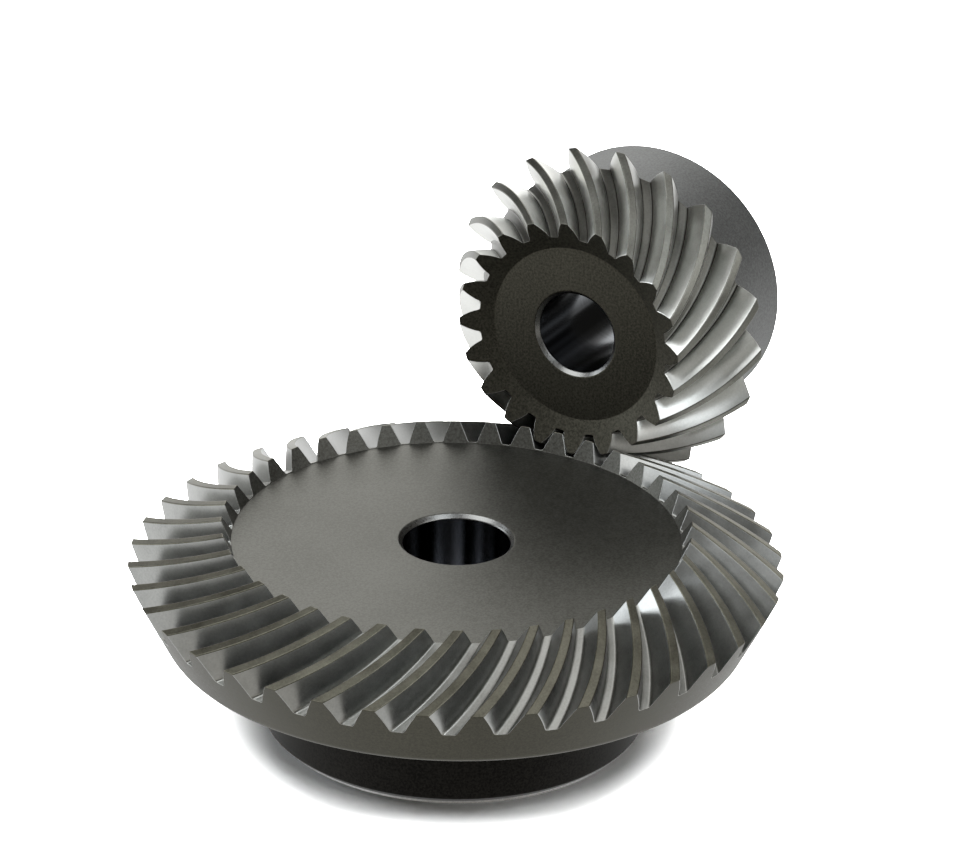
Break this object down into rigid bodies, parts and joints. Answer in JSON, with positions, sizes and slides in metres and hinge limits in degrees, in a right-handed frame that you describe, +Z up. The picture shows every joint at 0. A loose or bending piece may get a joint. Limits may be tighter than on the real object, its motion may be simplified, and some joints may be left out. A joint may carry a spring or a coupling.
{
  "type": "spiral bevel gear pair",
  "caption": "Right-angle spiral bevel wheel and pinion in mesh, with plain bores and hubs and a thrust washer behind each.",
  "frame": {"origin": "on the wheel's axis, at the underside of the wheel's thrust washer, on which the pair stands", "axes": "+Z up along the wheel's axis, from its hub to its teeth; +Y along the pinion's axis, from its teeth to its hub"},
  "size_m": [0.1214, 0.1407, 0.0941],
  "materials": {
    "wheel_steel": "cut and turned alloy steel, satin tooth flanks, dark oiled blank",
    "pinion_steel": "cut and turned alloy steel, satin tooth flanks, dark oiled blank",
    "washer_steel": "ground spring steel"
  },
  "bodies": {
    "mounting": {"wheel_thrust_washer": "washer_steel", "pinion_thrust_washer": "washer_steel"},
    "wheel": {"wheel": "wheel_steel"},
    "pinion": {"pinion": "pinion_steel"}
  },
  "joints": [
    {"name": "wheel_spin", "type": "hinge", "parent": "mounting", "child": "wheel", "pos_m": [0, 0, 0.061], "axis": [0, 0, 1], "continuous": true},
    {"name": "pinion_spin", "type": "hinge", "parent": "mounting", "child": "pinion", "pos_m": [0, 0, 0.061], "axis": [0, 1, 0], "continuous": true}
  ],
  "couplings": [
    {"joint": "pinion_spin", "follows": "wheel_spin", "ratio": 2}
  ]
}
